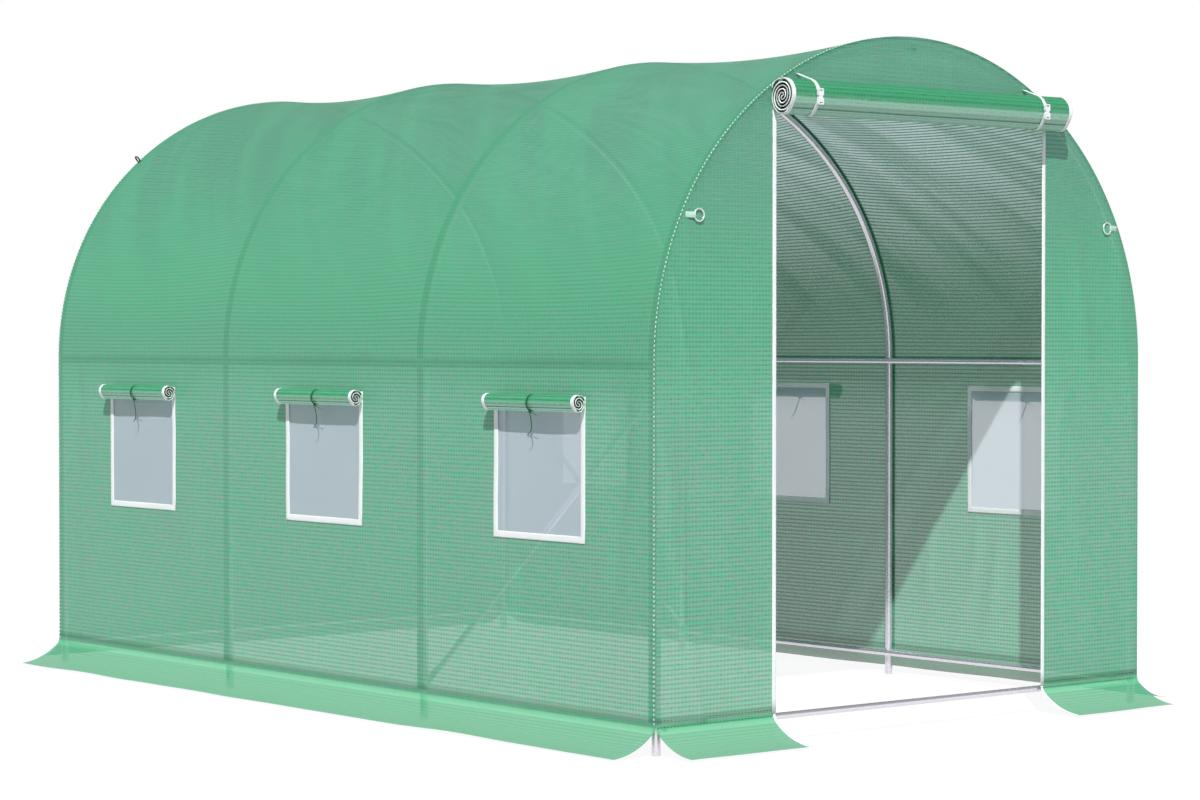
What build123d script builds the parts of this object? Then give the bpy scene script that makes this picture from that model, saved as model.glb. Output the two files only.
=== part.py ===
from build123d import *
import math
import os

# A walk-in polytunnel: four bent steel hoops, tied by rails, under a stretched sheet cover.
# Millimetres. X runs across the tunnel, Y along it with the doorway at -Y, Z up from the ground.

# Overall size, measured over the outside of the cover
tunnel_width = 2000.0
tunnel_length = 3260.0
leg_height = 1080.0
shoulder_radius = 920.0
shoulder_sweep = 45.0
bay_count = 3

# Steel tubes of the frame, which plug into each other at the hips and beside the crowns
hoop_tube = 25.0
rail_tube = 19.0
tube_wall = 1.2
plug_length = 60.0
plug_root = 10.0
hip_joint_drop = 90.0
rail_height = 74.0
hip_rail_drop = 9.0
seat_gap = 0.3

# Sloping braces, with ends pressed flat for a bolt
brace_end_drop = 42.0
flat_thickness = 4.0
flat_width = 24.0
flat_length = 34.0
flat_tip = 9.0
press_taper = 46.0
bolt_hole = 6.5

# Sheet cover
cover_thickness = 2.0
roof_sag = 24.0
skirt_height = 84.0
skirt_reach = 150.0
skirt_bend = 30.0
skirt_slope = 42.0
cut_overrun = 10.0

# Doorway and its rolled-up curtain, which is sewn over the head of the doorway
door_width = 1106.0
door_head_drop = 233.0
binding_width = 25.0
binding_thickness = 2.0
curtain_overlap = 43.0
curtain_shift = 18.0
curtain_depth = 88.0
curtain_stretch = 16.0
curtain_lift = 30.0
curtain_lap = 32.0
curtain_sheet = 3.0
curtain_pitch = 9.0
curtain_core = 6.0

# Straps round the rolled curtain
strap_inset = 83.0
strap_width = 14.0
strap_thickness = 2.0
strap_anchor_drop = 10.0
strap_dip = 12.0
strap_lap = 18.0
buckle_width = 20.0
buckle_height = 46.0
buckle_thickness = 8.0
buckle_corner = 3.0
buckle_bar = 3.5
buckle_slot = 4.0
buckle_grip = 4.5

# Windows along both sides, each with its blind rolled up
window_size = 424.0
window_head_drop = 88.0
window_forward = 24.0
window_binding = 20.0
blind_diameter = 56.0
blind_overlap = 21.0
blind_shift = 18.0
blind_top_drop = 6.0
blind_sheet = 2.5
blind_pitch = 9.0
blind_core = 8.0
tie_width = 12.0
tie_thickness = 1.5
tie_head_drop = 8.0
tie_clearance = 4.0

# Sewn tabs with rings for guy ropes, on both ends
ring_diameter = 40.0
ring_wire = 5.0
ring_rise = 410.0
ring_inset = 55.0
tab_width = 16.0
tab_thickness = 2.0
tab_root_inset = 5.0

# Values that follow from the sizes above
half_width = tunnel_width / 2
half_length = tunnel_length / 2
sweep_angle = math.radians(shoulder_sweep)
sheet_inset = cover_thickness + seat_gap
tube_inset = sheet_inset + hoop_tube / 2
leg_x = half_width - tube_inset
inner_leg_x = leg_x - hoop_tube / 2
rail_x = inner_leg_x - seat_gap - rail_tube / 2
end_hoop_y = half_length - tube_inset
bay_length = 2 * end_hoop_y / bay_count
hoop_places = [-end_hoop_y + bay_length * index for index in range(bay_count + 1)]
hoop_names = ["front", "second", "third", "rear"]
rail_run = 2 * end_hoop_y + hoop_tube
hip_joint_height = leg_height - hip_joint_drop
hip_rail_height = leg_height - hip_rail_drop
plug_tube = hoop_tube - 2 * (tube_wall + seat_gap)
root_tube = hoop_tube - tube_wall
brace_end_inset = math.hypot(flat_tip, flat_width / 2) - hoop_tube / 2
window_height = leg_height - window_head_drop - window_size / 2


def shoulder_offset(radius):
    """Distance of a shoulder's centre from the middle of the tunnel."""
    return half_width - radius


def crown_radius(inset, radius):
    """Radius of the crown arc that carries on smoothly from both shoulders."""
    return radius - inset + shoulder_offset(radius) / math.cos(sweep_angle)


def crown_centre(radius):
    """Height of the crown arc's centre."""
    return leg_height - shoulder_offset(radius) * math.tan(sweep_angle)


def arch_height(x, inset):
    """Height of the crown arc above the ground at a distance x from the middle."""
    return crown_centre(shoulder_radius) + math.sqrt(crown_radius(inset, shoulder_radius) ** 2 - x ** 2)


def upright_plane(y):
    """A plane across the tunnel, seen from the front."""
    return Plane(origin=(0, y, 0), x_dir=(1, 0, 0), z_dir=(0, -1, 0))


def arch_edges(inset, radius):
    """The three tangent arcs of an arch: left shoulder, crown, right shoulder."""
    offset = shoulder_offset(radius)
    half_crown = 90 - shoulder_sweep
    left = CenterArc((-offset, leg_height), radius - inset, 180, -shoulder_sweep)
    crown = CenterArc(
        (0, crown_centre(radius)), crown_radius(inset, radius), 90 + half_crown, -2 * half_crown
    )
    right = CenterArc((offset, leg_height), radius - inset, shoulder_sweep, -shoulder_sweep)
    return [left, crown, right]


def arch_band(y, sag):
    """The roof sheet's section across the tunnel, lowered at its crown by sag."""
    rise_share = 1 - 1 / math.cos(sweep_angle) + math.tan(sweep_angle)
    radius = shoulder_radius - sag / rise_share
    outer = arch_edges(0, radius)
    inner = arch_edges(cover_thickness, radius)
    left_hem = Line(outer[0] @ 0, inner[0] @ 0)
    right_hem = Line(outer[-1] @ 1, inner[-1] @ 1)
    return upright_plane(y) * make_face(outer + inner + [left_hem, right_hem])


def end_outline(bottom):
    """Face of an end wall, which fits inside the roof sheet and the side walls."""
    arcs = arch_edges(sheet_inset, shoulder_radius)
    edge_x = half_width - sheet_inset
    left = Line((-edge_x, bottom), (-edge_x, leg_height))
    right = Line((edge_x, leg_height), (edge_x, bottom))
    base = Line((edge_x, bottom), (-edge_x, bottom))
    return make_face([left] + arcs + [right, base])


def block(x_range, y_range, z_range):
    """A box between two corners, given as ranges along each axis."""
    size = [high - low for low, high in (x_range, y_range, z_range)]
    middle = [(high + low) / 2 for low, high in (x_range, y_range, z_range)]
    return Pos(*middle) * Box(*size)


# Frame


def tube_section(diameter, wall):
    """The ring-shaped section of a tube."""
    return Circle(diameter / 2) - Circle(diameter / 2 - wall)


def tube_between(start, end, section):
    """A straight tube from one point to another."""
    axis = Vector(*end) - Vector(*start)
    return extrude(Plane(origin=start, z_dir=axis) * section, amount=axis.length)


def plug_sections():
    """The narrowed end of a tube: its root inside the tube, and the plug that stands out of it."""
    bore = plug_tube / 2 - tube_wall
    return Circle(root_tube / 2) - Circle(bore), Circle(plug_tube / 2) - Circle(bore)


def legs(side):
    """The four upright tubes on one side, each with a plug at its top."""
    top = hip_joint_height - seat_gap
    root, plug = plug_sections()
    shapes = []
    for y in hoop_places:
        foot = (side * leg_x, y, 0)
        root_foot = (side * leg_x, y, top - plug_root)
        root_top = (side * leg_x, y, top)
        plug_top = (side * leg_x, y, top + plug_length)
        tube = tube_between(foot, root_top, tube_section(hoop_tube, tube_wall))
        tube = tube + tube_between(root_foot, root_top, root)
        shapes.append(tube + tube_between(root_foot, plug_top, plug))
    return shapes


def bent_tube(y, centre, bend_radius, angles, section):
    """A tube bent to a round arc across the tunnel, between two angles in degrees."""
    start = math.radians(angles[0])
    axis = Axis((centre[0], y, centre[1]), (0, -1, 0))
    place = (centre[0] + bend_radius * math.cos(start), y, centre[1] + bend_radius * math.sin(start))
    across = Plane(origin=place, x_dir=(0, 1, 0), z_dir=(-math.sin(start), 0, math.cos(start)))
    return revolve(across * section, axis, angles[1] - angles[0])


def arch(y):
    """Both shoulders and the crown of one hoop; the shoulders plug into the crown."""
    hollow = tube_section(hoop_tube, tube_wall)
    root, plug = plug_sections()
    bend = shoulder_radius - tube_inset
    bend_centre = (shoulder_offset(shoulder_radius), leg_height)
    top = (0, crown_centre(shoulder_radius))
    top_bend = crown_radius(tube_inset, shoulder_radius)
    trim = math.degrees(seat_gap / 2 / top_bend)
    root_turn = math.degrees(plug_root / top_bend)
    plug_turn = math.degrees(plug_length / top_bend)
    joint = shoulder_sweep - trim
    right = bent_tube(y, bend_centre, bend, (0, joint), hollow)
    right = right + tube_between((leg_x, y, hip_joint_height), (leg_x, y, leg_height), hollow)
    right = right + bent_tube(y, top, top_bend, (joint - root_turn, joint), root)
    right = right + bent_tube(y, top, top_bend, (joint - root_turn, joint + plug_turn), plug)
    crown = bent_tube(y, top, top_bend, (shoulder_sweep + trim, 180 - shoulder_sweep - trim), hollow)
    left = mirror(right, about=Plane.YZ)
    return [left, crown, right]


def long_rail(x, z):
    """A rail that runs the whole length inside the hoops."""
    return tube_between((x, -rail_run / 2, z), (x, rail_run / 2, z), tube_section(rail_tube, tube_wall))


def ridge_rail():
    """The rail under the crowns."""
    under_crown = arch_height(0, sheet_inset + hoop_tube)
    return long_rail(0, under_crown - seat_gap - rail_tube / 2)


def sill(y):
    """The low tube across an end, between the base rails."""
    reach = rail_x - rail_tube / 2 - seat_gap
    hollow = tube_section(rail_tube, tube_wall)
    return tube_between((-reach, y, rail_height), (reach, y, rail_height), hollow)


def brace(side, foot_y, head_y):
    """A sloping bar on the inside of two legs, pressed flat against them at both ends."""
    inset = math.copysign(brace_end_inset, head_y - foot_y)
    foot = Vector(side * rail_x, foot_y + inset, rail_height + brace_end_drop)
    head = Vector(side * rail_x, head_y - inset, hip_rail_height - brace_end_drop)
    run = (head - foot).length
    line = Plane(origin=foot, x_dir=(side, 0, 0), z_dir=head - foot)
    pressed = Pos(rail_tube / 2 - flat_thickness / 2, 0) * Ellipse(flat_thickness / 2, flat_width / 2)
    round_bar = Circle(rail_tube / 2)
    pressed_length = flat_length + press_taper
    shape = extrude(line.offset(pressed_length) * round_bar, amount=run - 2 * pressed_length)
    for flat_from, flat_to, round_at, bolt_at in (
        (-flat_tip, flat_length, pressed_length, 0),
        (run + flat_tip, run - flat_length, run - pressed_length, run),
    ):
        flat = extrude(line.offset(flat_from) * pressed, amount=flat_to - flat_from)
        neck = loft([(line.offset(flat_to) * pressed).face(), (line.offset(round_at) * round_bar).face()])
        hole = line * Pos(0, 0, bolt_at) * Rot(0, 90, 0) * Cylinder(bolt_hole / 2, rail_tube + cut_overrun)
        shape = shape + neck + (flat - hole)
    return shape


# Cover


def roof_bay(index):
    """One bay of the roof sheet: it hangs slack between two hoops."""
    first = hoop_places[index]
    last = hoop_places[index + 1]
    middle = (first + last) / 2
    sections = [arch_band(first, 0), arch_band(middle, roof_sag), arch_band(last, 0)]
    bay = loft([section.face() for section in sections])
    edge = half_length - end_hoop_y
    if index == 0:
        bay = bay + extrude(arch_band(first, 0), amount=edge)
    if index == bay_count - 1:
        bay = bay + extrude(arch_band(last, 0), amount=-edge)
    return bay


def window_centres():
    """Places of the windows along a side."""
    pitch = tunnel_length / bay_count
    return [-half_length + pitch * (index + 1 / 2) - window_forward for index in range(bay_count)]


def side_wall(side):
    """The upright sheet of one side, with its windows cut out."""
    faces = sorted((side * half_width, side * (half_width - cover_thickness)))
    wall = block(faces, (-half_length, half_length), (skirt_height, leg_height))
    hole = window_size - window_binding
    cutter = Box(cover_thickness + cut_overrun, hole, hole)
    for y in window_centres():
        wall = wall - Pos(side * half_width, y, window_height) * cutter
    return wall


def end_wall(end):
    """A whole end sheet; end is -1 at the front and 1 at the rear."""
    outer = end * half_length
    return extrude(upright_plane(outer) * end_outline(skirt_height), amount=end * cover_thickness)


crown_height = arch_height(0, 0)
door_height = crown_height - door_head_drop


def front_panels():
    """The front sheet, cut into a panel on each side of the doorway and one over it."""
    sheet = end_wall(-1)
    half_door = door_width / 2
    depth = (-half_length - cut_overrun, -half_length + cover_thickness + cut_overrun)
    everything = (0, crown_height + cut_overrun)
    left = sheet & block((-half_width, -half_door), depth, everything)
    right = sheet & block((half_door, half_width), depth, everything)
    over = sheet & block((-half_door, half_door), depth, (door_height, crown_height + cut_overrun))
    return left, right, over


def hem_curve(offset):
    """Half of the hem's section: a short bend at the wall, then a long hollow run to the ground."""
    bend = CenterArc((skirt_bend, skirt_height), skirt_bend, 180, 90 - skirt_slope)
    run = TangentArc([bend @ 1, (skirt_reach, cover_thickness)], tangent=bend % 1)
    if offset == 0:
        return bend, run
    moved = []
    for arc, place in ((bend, 1), (run, 1)):
        along = arc % place
        moved.append((arc @ place) + Vector(along.Y, -along.X) * offset)
    lower_bend = CenterArc((skirt_bend, skirt_height), skirt_bend + offset, 180, 90 - skirt_slope)
    return lower_bend, TangentArc(moved, tangent=bend % 1)


def skirt_section():
    """The flared hem that lies out on the ground; x is the distance outside the wall."""
    upper_bend, upper_run = hem_curve(0)
    lower_bend, lower_run = hem_curve(cover_thickness)
    top = Line(upper_bend @ 0, lower_bend @ 0)
    edge = Line(upper_run @ 1, lower_run @ 1)
    return make_face([upper_bend, upper_run, edge, lower_run, lower_bend, top])


def skirt(middle, outward, length):
    """A straight run of the flared hem, centred on a point at the wall's foot."""
    plane = Plane(origin=middle, x_dir=outward, z_dir=Vector(*outward).cross(Vector(0, 0, 1)))
    return extrude(plane * skirt_section(), amount=length / 2, both=True)


def side_skirt(side):
    """The hem along one side."""
    return skirt((side * half_width, 0, 0), (side, 0, 0), tunnel_length)


def end_skirt(end, x_low, x_high):
    """The hem along an end, between two places across it."""
    return skirt(((x_low + x_high) / 2, end * half_length, 0), (0, end, 0), x_high - x_low)


# Rolled sheets


def roll_centres(depth, rise, pitch):
    """Centres of a roll's lower and upper half turns, measured from the middle of its back."""
    low = Vector(-depth / 2, depth / 2 - rise / 2)
    high = Vector(-depth / 2 - pitch / 2, rise / 2 - depth / 2 + pitch / 2)
    return low, high


def roll_side(depth, rise, pitch, sheet, core, lap, offset):
    """One face of the wound sheet: from its sewn top down the back, then round and round to the core."""
    low, high = roll_centres(depth, rise, pitch)
    radius = (depth - sheet) / 2
    turns = 1 + int((radius - core) / (pitch / 2))
    edges = [Line((low.X + radius + offset, lap), (low.X + radius + offset, low.Y))]
    for turn in range(turns):
        centre, angle = ((low, 0), (high, 180))[turn % 2]
        if turn > 0:
            next_height = edges[-1] @ 1
            edges.append(Line(next_height, (next_height.X, centre.Y)))
        edges.append(CenterArc((centre.X, centre.Y), radius + offset, angle, -180))
        radius = radius - pitch / 2
    return edges


def roll_face(depth, rise, pitch, sheet, core, lap):
    """The end of a rolled sheet."""
    outer = roll_side(depth, rise, pitch, sheet, core, lap, sheet / 2)
    inner = roll_side(depth, rise, pitch, sheet, core, lap, -sheet / 2)
    sewn_edge = Line(outer[0] @ 0, inner[0] @ 0)
    free_edge = Line(outer[-1] @ 1, inner[-1] @ 1)
    return make_face(outer + inner + [sewn_edge, free_edge])


def loop_face(depth, rise, pitch, points, thickness):
    """A band drawn tight round a roll and the points beside it."""
    low, high = roll_centres(depth, rise, pitch)
    hulls = []
    for growth in (seat_gap, seat_gap + thickness):
        rounds = [Pos(low.X, low.Y) * Circle(depth / 2 + growth)]
        rounds.append(Pos(high.X, high.Y) * Circle(depth / 2 - pitch / 2 + growth))
        rounds += [Pos(*point) * Circle(growth) for point in points]
        hulls.append(make_hull([edge for shape in rounds for edge in shape.edges()]))
    return hulls[1] - hulls[0]


# Doorway


def door_binding(side):
    """The pale strip sewn on the edge of the doorway."""
    edges = sorted((side * door_width / 2, side * (door_width / 2 + binding_width)))
    front = -half_length - seat_gap
    return block(edges, (front - binding_thickness, front), (skirt_height, door_height))


curtain_back = -half_length - seat_gap
curtain_height = door_height + curtain_lift
curtain_rise = curtain_depth + curtain_stretch
curtain_half = door_width / 2 + curtain_overlap
strap_x = door_width / 2 - strap_inset


def across_plane(x):
    """A plane along the tunnel through the rolled curtain, seen from the right."""
    return Plane(origin=(x, curtain_back, curtain_height), x_dir=(0, 1, 0), z_dir=(1, 0, 0))


def door_curtain():
    """The door sheet, rolled up over the doorway."""
    face = roll_face(curtain_depth, curtain_rise, curtain_pitch, curtain_sheet, curtain_core, curtain_lap)
    return extrude(across_plane(curtain_shift - curtain_half) * face, amount=2 * curtain_half)


def curtain_strap(side):
    """A strap over the rolled curtain: down its front, under it and up the inside of the panel."""
    anchor_height = arch_height(strap_x, sheet_inset) - strap_anchor_drop - curtain_height
    inside = seat_gap + cover_thickness
    dip_height = -curtain_lift - strap_dip
    lap_height = strap_lap - curtain_lift
    points = [(-seat_gap - strap_thickness, anchor_height), (inside, dip_height), (inside, lap_height)]
    loop = loop_face(curtain_depth, curtain_rise, curtain_pitch, points, strap_thickness)
    start = side * strap_x - strap_width / 2
    band = extrude(across_plane(start) * loop, amount=strap_width)
    open_part = block(
        (start - cut_overrun, start + strap_width + cut_overrun),
        (curtain_back, -half_length + hoop_tube),
        (curtain_height + lap_height, crown_height),
    )
    return band - open_part


def strap_buckle(side):
    """The buckle on the front of a strap, with a slot for the webbing at each end and gripped sides."""
    front = curtain_back - curtain_depth - strap_thickness - 2 * seat_gap
    face = RectangleRounded(buckle_width, buckle_height, buckle_corner)
    slot_height = buckle_height / 2 - buckle_bar - buckle_slot / 2
    for end in (-1, 1):
        face = face - Pos(0, end * slot_height) * Rectangle(strap_width + 2 * seat_gap, buckle_slot)
        face = face - Pos(end * buckle_width / 2, 0) * Circle(buckle_grip)
    plane = Plane(origin=(side * strap_x, front, curtain_height), x_dir=(1, 0, 0), z_dir=(0, -1, 0))
    return extrude(plane * face, amount=buckle_thickness)


# Windows


def window_screens(side):
    """The netting in the windows of one side."""
    size = window_size - window_binding - 2 * seat_gap
    middle = side * (half_width - cover_thickness / 2)
    return [Pos(middle, y, window_height) * Box(cover_thickness, size, size) for y in window_centres()]


def window_frames(side):
    """The pale strips sewn round the windows of one side."""
    middle = side * (half_width + seat_gap + binding_thickness / 2)
    inner = window_size - 2 * window_binding
    frame = Box(binding_thickness, window_size, window_size)
    frame = frame - Box(binding_thickness + cut_overrun, inner, inner)
    return [Pos(middle, y, window_height) * frame for y in window_centres()]


blind_back = half_width + 2 * seat_gap + binding_thickness
blind_lap = blind_top_drop + blind_diameter / 2
blind_height = leg_height - window_head_drop - blind_lap
blind_length = window_size + 2 * blind_overlap


def side_plane(side, y):
    """A plane across a blind, whose x runs to the wall."""
    place = (side * blind_back, y - blind_shift, blind_height)
    return Plane(origin=place, x_dir=(-side, 0, 0), z_dir=(0, side, 0))


def rolled_blinds(side):
    """The window blinds, rolled up under the tops of the windows."""
    face = roll_face(blind_diameter, blind_diameter, blind_pitch, blind_sheet, blind_core, blind_lap)
    planes = [side_plane(side, y) for y in window_centres()]
    return [extrude(plane * face, amount=blind_length / 2, both=True) for plane in planes]


def blind_ties(side):
    """The tapes that hold the rolled blinds: sewn to the top, under the roll and up behind it."""
    back_top = blind_lap - window_binding - tie_clearance
    head = (-blind_sheet - seat_gap - tie_thickness, blind_lap - tie_head_drop)
    loop = loop_face(blind_diameter, blind_diameter, blind_pitch, [head, (0, back_top)], tie_thickness)
    open_half = blind_sheet + binding_thickness
    open_part = Pos(0, back_top + blind_diameter / 2) * Rectangle(2 * open_half, blind_diameter)
    open_part = open_part - Pos(-open_half, back_top + blind_diameter / 2) * Rectangle(
        2 * (open_half - blind_sheet), blind_diameter
    )
    band = loop - open_part
    planes = [side_plane(side, y) for y in window_centres()]
    return [extrude(plane * band, amount=tie_width / 2, both=True) for plane in planes]


# Guy rings


def seam_x():
    """How far from the middle the cover's edge stands at the height of the rings."""
    radius = shoulder_radius - sheet_inset
    return shoulder_offset(shoulder_radius) + math.sqrt(radius ** 2 - ring_rise ** 2)


ring_height = leg_height + ring_rise
ring_x = seam_x() - ring_inset
ring_bend = (ring_diameter - ring_wire) / 2
ring_y = half_length + tab_thickness + 2 * seat_gap + ring_wire / 2


def ring_tab(end, side):
    """A tape sewn on at the seam, with a loop at its end round the ring's wire."""
    inner_bend = ring_bend - ring_wire / 2
    slack = inner_bend - math.sqrt(inner_bend ** 2 - (tab_width / 2) ** 2)
    eye = ring_wire + 2 * seat_gap
    loop_x = ring_x + ring_bend - slack / 2
    loop = SlotCenterToCenter(slack, eye + 2 * tab_thickness) - SlotCenterToCenter(slack, eye)
    low = ring_height - tab_width / 2
    bottom = Plane(origin=(side * loop_x, end * ring_y, low))
    fold = extrude(bottom * loop, amount=tab_width)
    near = half_length + seat_gap
    depth = sorted((end * near, end * (near + tab_thickness)))
    reach = sorted((side * loop_x, side * (seam_x() - tab_root_inset)))
    leaf = block(reach, depth, (low, low + tab_width))
    eye_void = extrude(bottom * SlotCenterToCenter(slack, eye), amount=tab_width)
    return fold + (leaf - eye_void)


def guy_rings(end):
    """The wire rings on one end."""
    ring = Rot(90, 0, 0) * Torus(ring_bend, ring_wire / 2)
    return [Pos(side * ring_x, end * ring_y, ring_height) * ring for side in (-1, 1)]


def build():
    """All pieces of the tunnel, by name."""
    left_panel, right_panel, over_door = front_panels()
    half_door = door_width / 2
    hem_end = half_width - sheet_inset
    pieces = {
        "left_legs": legs(-1),
        "right_legs": legs(1),
        "left_hip_rail": long_rail(-rail_x, hip_rail_height),
        "right_hip_rail": long_rail(rail_x, hip_rail_height),
        "ridge_rail": ridge_rail(),
        "left_base_rail": long_rail(-rail_x, rail_height),
        "right_base_rail": long_rail(rail_x, rail_height),
        "front_sill": sill(hoop_places[0]),
        "rear_sill": sill(hoop_places[-1]),
        "left_brace": brace(-1, hoop_places[1], hoop_places[0]),
        "right_brace": brace(1, hoop_places[-2], hoop_places[-1]),
        "front_bay_roof": roof_bay(0),
        "middle_bay_roof": roof_bay(1),
        "rear_bay_roof": roof_bay(2),
        "left_wall": side_wall(-1),
        "right_wall": side_wall(1),
        "front_left_panel": left_panel,
        "front_right_panel": right_panel,
        "front_top_panel": over_door,
        "rear_wall": end_wall(1),
        "left_skirt": side_skirt(-1),
        "right_skirt": side_skirt(1),
        "front_left_skirt": end_skirt(-1, -hem_end, -half_door),
        "front_right_skirt": end_skirt(-1, half_door, hem_end),
        "rear_skirt": end_skirt(1, -hem_end, hem_end),
        "door_bindings": [door_binding(side) for side in (-1, 1)],
        "door_curtain": door_curtain(),
        "curtain_straps": [curtain_strap(side) for side in (-1, 1)],
        "strap_buckles": [strap_buckle(side) for side in (-1, 1)],
        "left_window_screens": window_screens(-1),
        "right_window_screens": window_screens(1),
        "left_window_frames": window_frames(-1),
        "right_window_frames": window_frames(1),
        "left_rolled_blinds": rolled_blinds(-1),
        "right_rolled_blinds": rolled_blinds(1),
        "left_blind_ties": blind_ties(-1),
        "right_blind_ties": blind_ties(1),
        "front_ring_tabs": [ring_tab(-1, side) for side in (-1, 1)],
        "rear_ring_tabs": [ring_tab(1, side) for side in (-1, 1)],
        "front_guy_rings": guy_rings(-1),
        "rear_guy_rings": guy_rings(1),
    }
    for name, y in zip(hoop_names, hoop_places):
        pieces[name + "_arch"] = arch(y)
    return pieces


os.makedirs("parts", exist_ok=True)
for name, shape in build().items():
    if isinstance(shape, list):
        shape = Compound(children=shape)
    export_step(shape, os.path.join("parts", name + ".step"))
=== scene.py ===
# %% [markdown]
# This lesson dresses a walk-in polytunnel. The steel frame and the small hard parts come from the packed
# model as they are. The cover, its windows, the rolled door and all tapes are sheets, so they are made here.

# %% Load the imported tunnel
import math

import bpy
import numpy as np
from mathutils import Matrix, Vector, noise


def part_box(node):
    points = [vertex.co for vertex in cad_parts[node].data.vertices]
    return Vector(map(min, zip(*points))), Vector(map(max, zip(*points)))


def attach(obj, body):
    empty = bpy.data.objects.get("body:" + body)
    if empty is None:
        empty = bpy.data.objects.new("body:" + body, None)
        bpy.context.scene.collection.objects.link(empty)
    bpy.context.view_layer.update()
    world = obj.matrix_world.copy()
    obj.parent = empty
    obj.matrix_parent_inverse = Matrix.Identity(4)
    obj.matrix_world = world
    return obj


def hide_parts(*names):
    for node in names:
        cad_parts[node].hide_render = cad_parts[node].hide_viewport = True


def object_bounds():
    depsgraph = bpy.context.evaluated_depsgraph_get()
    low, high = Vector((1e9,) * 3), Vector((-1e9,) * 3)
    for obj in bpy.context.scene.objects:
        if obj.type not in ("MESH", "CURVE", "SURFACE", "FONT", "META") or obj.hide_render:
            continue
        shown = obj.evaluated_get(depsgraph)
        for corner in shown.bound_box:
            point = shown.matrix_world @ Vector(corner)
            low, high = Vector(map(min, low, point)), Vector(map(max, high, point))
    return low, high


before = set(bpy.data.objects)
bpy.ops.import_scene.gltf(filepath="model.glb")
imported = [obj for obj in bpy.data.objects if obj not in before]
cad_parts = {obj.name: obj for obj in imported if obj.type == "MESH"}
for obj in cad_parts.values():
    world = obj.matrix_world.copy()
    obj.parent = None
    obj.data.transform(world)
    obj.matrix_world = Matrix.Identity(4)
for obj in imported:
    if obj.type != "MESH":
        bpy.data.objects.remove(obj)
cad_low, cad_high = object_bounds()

print("packed size", [round(value, 3) for value in cad_high - cad_low])

# %% [markdown]
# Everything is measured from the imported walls, so the sheets sit where the solid stand-ins were. Only the
# bend of the hoops isn't in a box: three arcs that run on smoothly, two shoulders and a flatter crown.

# %% Measure the tunnel
def centre(name, axis):
    """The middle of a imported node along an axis."""
    low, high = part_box(name)
    return (low[axis] + high[axis]) / 2


wall_low, wall_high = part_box("left_wall")
half_width, half_length = -wall_low.x, wall_high.y
foot_height, eaves_height = wall_low.z, wall_high.z
skirt_reach = cad_high.x - half_width
shoulder_radius, shoulder_sweep = 0.92, 45
roof_sag = 0.026
hoops = ["front_arch", "second_arch", "third_arch", "rear_arch"]
hoop_places = [centre(name, 1) for name in hoops]
print("half width", round(half_width, 3), "hoops at", [round(y, 3) for y in hoop_places])

# %% [markdown]
# Wall and roof are one long cut of sheet, so the arch is written as a function of the angle that the sheet
# faces: 180 degrees is the left wall, 90 the ridge, 0 the right wall. A slack bay has tighter shoulders.

# %% The arch as a function of its angle
def arch(angle, sag=0.0, inset=0.0):
    """Point (x, z) that faces an angle in degrees; sag lowers the crown, inset moves inwards."""
    lean = math.radians(shoulder_sweep)
    radius = shoulder_radius - sag / (1 - 1 / math.cos(lean) + math.tan(lean))
    offset = half_width - radius
    turn = np.radians(angle)
    on_crown = np.abs(np.asarray(angle) - 90) <= 90 - shoulder_sweep
    centre_x = np.where(on_crown, 0, np.where(np.asarray(angle) > 90, -offset, offset))
    centre_z = np.where(on_crown, eaves_height - offset * math.tan(lean), eaves_height)
    bend = np.where(on_crown, radius + offset / math.cos(lean), radius) - inset
    return centre_x + bend * np.cos(turn), centre_z + bend * np.sin(turn)


print("crown at", round(float(arch(90)[1]), 3))

# %% [markdown]
# The hem lies out on the ground as a flap. Its section is a short bend at the foot of the wall and then a
# long hollow curve, which is how a stiff sheet comes down when nothing holds its edge.

# %% The section of the ground flap
def flap(steps):
    """Points (distance out, height) from the edge on the ground up to the foot of the wall."""
    bend, slope, lift = 0.03, math.radians(42), 0.002
    turn = np.linspace(0, math.pi / 2 - slope, 5)
    crease = np.stack([bend - bend * np.cos(turn), foot_height - bend * np.sin(turn)], 1)
    run = np.array([skirt_reach - crease[-1, 0], crease[-1, 1] - lift])
    half_turn = slope - math.atan2(run[1], run[0])
    radius = np.hypot(*run) / (2 * math.sin(half_turn))
    tilt = np.linspace(slope - 2 * half_turn, slope, steps)
    out = crease[-1, 0] + radius * (math.sin(slope) - np.sin(tilt))
    height = crease[-1, 1] - radius * (np.cos(tilt) - math.cos(slope))
    return np.concatenate([np.stack([out, height], 1), crease[::-1][1:]])


print("flap section", flap(9).round(3).tolist())

# %% [markdown]
# A sheet is a grid of points. Its UV map holds metres of cloth, so that the weave has its real size however
# the sheet bends. Cells can be left out, which makes the windows without any cutting tool. A piece is joined
# from such parts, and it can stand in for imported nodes.

# %% Make a sheet from a grid of points
def metres_along(points):
    """Length along a line of points, from its first one."""
    return np.concatenate([[0], np.cumsum(np.linalg.norm(np.diff(points, axis=0), axis=1))])


def points_of(x, y, z):
    """Points from their three numbers, of which some may be shared by all."""
    return np.stack(np.broadcast_arrays(x, y, z), -1)


def grid_part(grid, cloth, keep=None):
    """Points, faces and cloth lengths of a grid; keep says which of its cells stay."""
    rows, columns = grid.shape[:2]
    low = np.arange(rows - 1)[:, None] * columns + np.arange(columns - 1)
    cells = np.stack([low, low + 1, low + columns + 1, low + columns], -1)
    cells = cells.reshape(-1, 4) if keep is None else cells[keep]
    used, faces = np.unique(cells, return_inverse=True)
    return grid.reshape(-1, 3)[used], faces.reshape(-1, 4).tolist(), cloth.reshape(-1, 2)[used]


def wear(piece, material):
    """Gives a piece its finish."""
    piece.data.materials.clear()
    piece.data.materials.append(material)


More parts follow.
